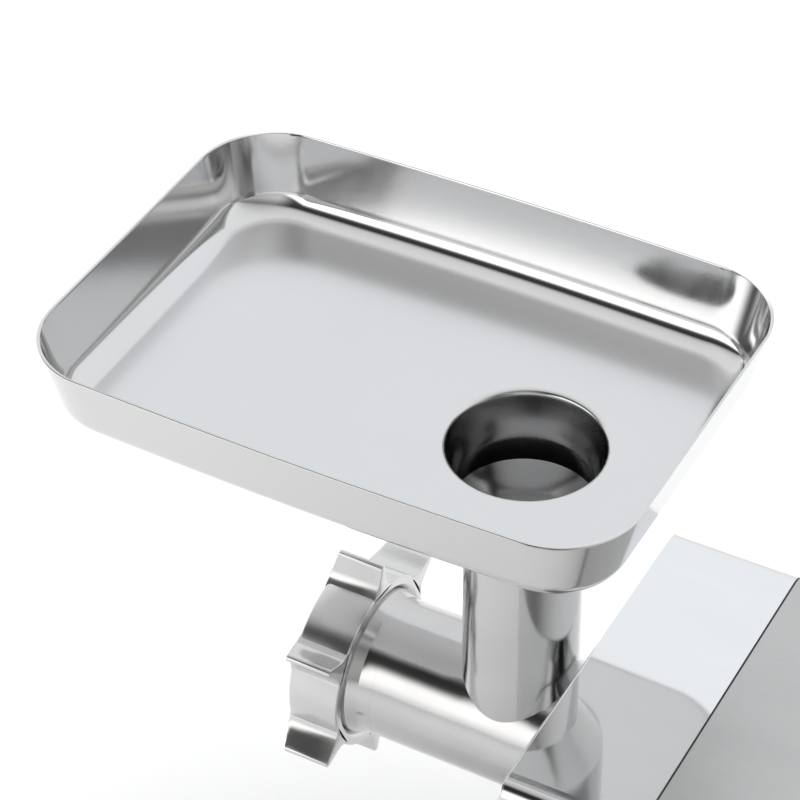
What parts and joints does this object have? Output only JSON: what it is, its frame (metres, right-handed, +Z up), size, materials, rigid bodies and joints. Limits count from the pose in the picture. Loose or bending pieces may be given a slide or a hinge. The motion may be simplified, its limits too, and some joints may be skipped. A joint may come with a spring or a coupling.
{
  "type": "electric meat grinder",
  "caption": "Countertop electric meat grinder: steel meat tray, cast head with feed tube and lugged ring nut, geared motor in a steel housing.",
  "frame": {"origin": "on the table, under the middle of the bounding box", "axes": "+Z up, mince leaves towards -Y, controls and lock knob on +X"},
  "size_m": [0.2518, 0.5604, 0.385],
  "materials": {
    "tray_steel": "satin, polished walls",
    "head_polish": "polished casting",
    "shell_mirror": "mirror polished",
    "cover_brushed": "fine brushed",
    "panel_steel": "powder coat",
    "tool_steel": "ground",
    "screw_cast": "tinned casting",
    "washer_nylon": "natural nylon",
    "gearbox_aluminium": "die cast",
    "gear_steel": "machined",
    "lamination": "stacked laminations",
    "copper": "enamelled copper",
    "brass": "plain",
    "carbon": "carbon",
    "fan_plastic": "moulded",
    "black_plastic": "moulded, fine texture",
    "rocker_black": "moulded",
    "button_red": "moulded",
    "gasket_rubber": "matt",
    "screw_steel": "plated"
  },
  "bodies": {
    "housing": {"head_casting": "head_polish", "front_shell": "shell_mirror", "front_panel": "shell_mirror", "rear_cover": "cover_brushed", "rear_panel": "panel_steel", "base_plate": "panel_steel", "motor_cradle": "panel_steel", "panel_brackets": "panel_steel", "plate_key": "tool_steel", "feed_screw_washer": "washer_nylon", "head_socket": "gearbox_aluminium", "gearbox_housing": "gearbox_aluminium", "gearbox_cover": "gearbox_aluminium", "motor_brackets": "gearbox_aluminium", "gearbox_spacers": "gearbox_aluminium", "gearbox_feet": "gearbox_aluminium", "motor_bolts": "gear_steel", "motor_spacers": "gear_steel", "bearings": "gear_steel", "stator_core": "lamination", "field_windings": "copper", "brush_holders": "brass", "inlet_pins": "brass", "carbon_brushes": "carbon", "control_bezel": "black_plastic", "power_switch_body": "black_plastic", "reverse_switch_body": "black_plastic", "breaker_body": "black_plastic", "inlet_body": "black_plastic", "suppressor_capacitor": "black_plastic", "seam_gasket": "gasket_rubber", "rubber_feet": "gasket_rubber", "socket_screws": "screw_steel", "gearbox_screws": "screw_steel", "rear_screws": "screw_steel", "foot_screws": "screw_steel", "side_screws": "screw_steel", "reset_spring": "screw_steel"},
    "tray": {"tray": "tray_steel"},
    "plate": {"grinder_plate": "tool_steel"},
    "ring_nut": {"ring_nut": "head_polish"},
    "feed_drive": {"feed_screw": "screw_cast", "feed_screw_stud": "tool_steel", "knife": "tool_steel", "output_shaft": "gear_steel", "output_gear": "gear_steel"},
    "intermediate": {"intermediate_pinion": "gear_steel", "intermediate_gear": "gear_steel"},
    "rotor": {"motor_pinion": "gear_steel", "rotor_shaft": "gear_steel", "rotor_core": "lamination", "rotor_windings": "copper", "commutator": "copper", "cooling_fan": "fan_plastic"},
    "lock_knob": {"lock_knob": "black_plastic", "lock_screw": "screw_steel"},
    "power_rocker": {"power_rocker": "rocker_black"},
    "reverse_rocker": {"reverse_rocker": "rocker_black"},
    "reset_button": {"reset_button": "button_red"}
  },
  "joints": [
    {"name": "tray_lift", "type": "slide", "parent": "housing", "child": "tray", "axis": [0, 0, 1], "range_m": [0, 0.06]},
    {"name": "plate_out", "type": "slide", "parent": "housing", "child": "plate", "axis": [0, -1, 0], "range_m": [0, 0.009]},
    {"name": "ring_nut_turn", "type": "hinge", "parent": "plate", "child": "ring_nut", "pos_m": [0, -0.1458, 0.148], "axis": [0, -1, 0], "range_deg": [0, 1080]},
    {"name": "rotor_spin", "type": "hinge", "parent": "housing", "child": "rotor", "pos_m": [0, 0.149, 0.08], "axis": [0, 1, 0], "continuous": true},
    {"name": "intermediate_spin", "type": "hinge", "parent": "housing", "child": "intermediate", "pos_m": [-0.03297, 0.066, 0.09968], "axis": [0, 1, 0], "continuous": true},
    {"name": "feed_spin", "type": "hinge", "parent": "housing", "child": "feed_drive", "pos_m": [0, 0, 0.148], "axis": [0, 1, 0], "continuous": true},
    {"name": "lock_knob_turn", "type": "hinge", "parent": "housing", "child": "lock_knob", "pos_m": [0.118, 0.02, 0.148], "axis": [1, 0, 0], "range_deg": [0, 540]},
    {"name": "power_rocker_tilt", "type": "hinge", "parent": "housing", "child": "power_rocker", "pos_m": [0.106, 0.16, 0.12], "axis": [0, 1, 0], "range_deg": [-16, 0]},
    {"name": "reverse_rocker_tilt", "type": "hinge", "parent": "housing", "child": "reverse_rocker", "pos_m": [0.106, 0.19, 0.12], "axis": [0, 1, 0], "range_deg": [-16, 0]},
    {"name": "reset_press", "type": "slide", "parent": "housing", "child": "reset_button", "axis": [-1, 0, 0], "range_m": [0, 0.0035], "stiffness_N_per_m": 300, "springref_m": -0.001}
  ],
  "couplings": [
    {"joint": "intermediate_spin", "follows": "rotor_spin", "ratio": -0.14286},
    {"joint": "feed_spin", "follows": "rotor_spin", "ratio": 0.028571},
    {"joint": "plate_out", "follows": "ring_nut_turn", "m_per_rad": 0.00047746}
  ]
}
